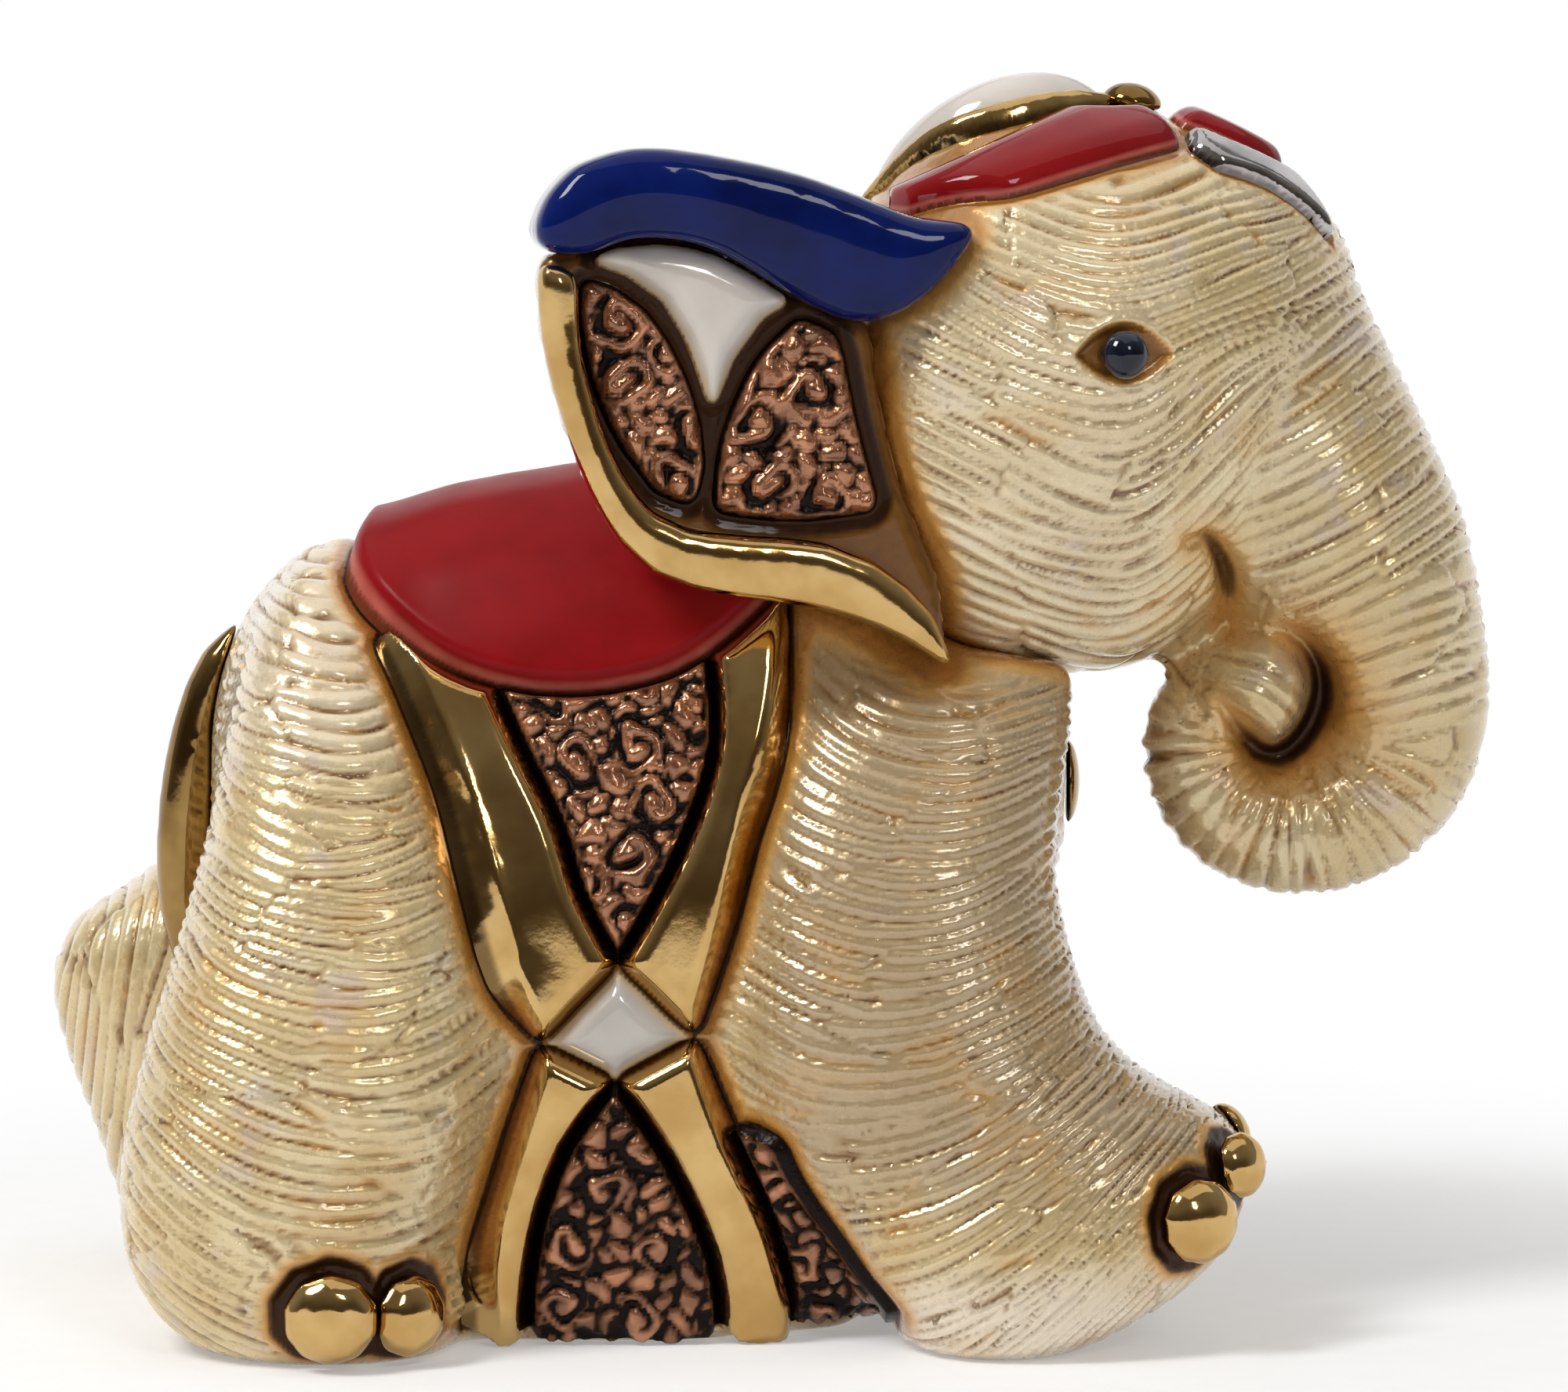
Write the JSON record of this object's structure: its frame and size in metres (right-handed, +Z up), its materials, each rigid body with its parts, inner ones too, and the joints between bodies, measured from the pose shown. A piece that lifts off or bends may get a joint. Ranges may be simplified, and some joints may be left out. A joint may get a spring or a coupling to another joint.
{
  "type": "sitting elephant figurine",
  "caption": "Glazed ceramic figurine of a sitting baby elephant in a gilt and enamelled caparison, trunk curled under, standing free on its flat base.",
  "frame": {"origin": "middle of the figure's box, on the surface that it sits on", "axes": "+X the way the elephant faces, +Y its left side, +Z up"},
  "size_m": [0.1062, 0.059, 0.0892],
  "materials": {
    "pearl_glaze": "cream pearl lustre over combed lines, ochre in the recesses",
    "gold_lustre": "mirror gold lustre over glaze",
    "dark_gold_lustre": "dark bronze-gold lustre over glaze",
    "platinum_lustre": "mirror platinum lustre over glaze",
    "red_enamel": "thick gloss enamel",
    "blue_enamel": "thick gloss enamel",
    "white_enamel": "thick gloss enamel",
    "copper_scroll": "copper-brown lustre on relief, dark in the recesses",
    "eye_glaze": "blue-black gloss"
  },
  "bodies": {
    "root": {"brow_plate_left": "platinum_lustre", "brow_plate_right": "platinum_lustre", "cap_gold_ridge_left": "gold_lustre", "cap_gold_ridge_right": "gold_lustre", "cap_red_panel_left": "red_enamel", "cap_red_panel_right": "red_enamel", "cap_white_panel": "white_enamel", "chest_pendant": "dark_gold_lustre", "crown_knob": "dark_gold_lustre", "diamond_left": "white_enamel", "diamond_right": "white_enamel", "ear_blue_roll_left": "blue_enamel", "ear_blue_roll_right": "blue_enamel", "ear_front_scroll_left": "copper_scroll", "ear_front_scroll_right": "copper_scroll", "ear_gold_rim_left": "gold_lustre", "ear_gold_rim_right": "gold_lustre", "ear_left": "pearl_glaze", "ear_rear_scroll_left": "copper_scroll", "ear_rear_scroll_right": "copper_scroll", "ear_right": "pearl_glaze", "ear_white_field_left": "white_enamel", "ear_white_field_right": "white_enamel", "eye_left": "eye_glaze", "eye_right": "eye_glaze", "fore_nail_left_1": "gold_lustre", "fore_nail_left_2": "gold_lustre", "fore_nail_left_3": "gold_lustre", "fore_nail_right_1": "gold_lustre", "fore_nail_right_2": "gold_lustre", "fore_nail_right_3": "gold_lustre", "forehead_red_panel": "red_enamel", "foreleg_left": "pearl_glaze", "foreleg_right": "pearl_glaze", "front_lower_strap_left": "gold_lustre", "front_lower_strap_right": "gold_lustre", "front_scroll_panel_left": "copper_scroll", "front_scroll_panel_right": "copper_scroll", "front_upper_strap_left": "gold_lustre", "front_upper_strap_right": "gold_lustre", "head": "pearl_glaze", "hind_leg_left": "pearl_glaze", "hind_leg_right": "pearl_glaze", "hind_nail_left_1": "gold_lustre", "hind_nail_left_2": "gold_lustre", "hind_nail_right_1": "gold_lustre", "hind_nail_right_2": "gold_lustre", "lower_scroll_panel_left": "copper_scroll", "lower_scroll_panel_right": "copper_scroll", "rear_lower_strap_left": "gold_lustre", "rear_lower_strap_right": "gold_lustre", "rear_upper_strap_left": "gold_lustre", "rear_upper_strap_right": "gold_lustre", "saddle": "red_enamel", "tail": "dark_gold_lustre", "torso": "pearl_glaze", "trunk": "pearl_glaze", "upper_scroll_panel_left": "copper_scroll", "upper_scroll_panel_right": "copper_scroll"}
  },
  "joints": []
}
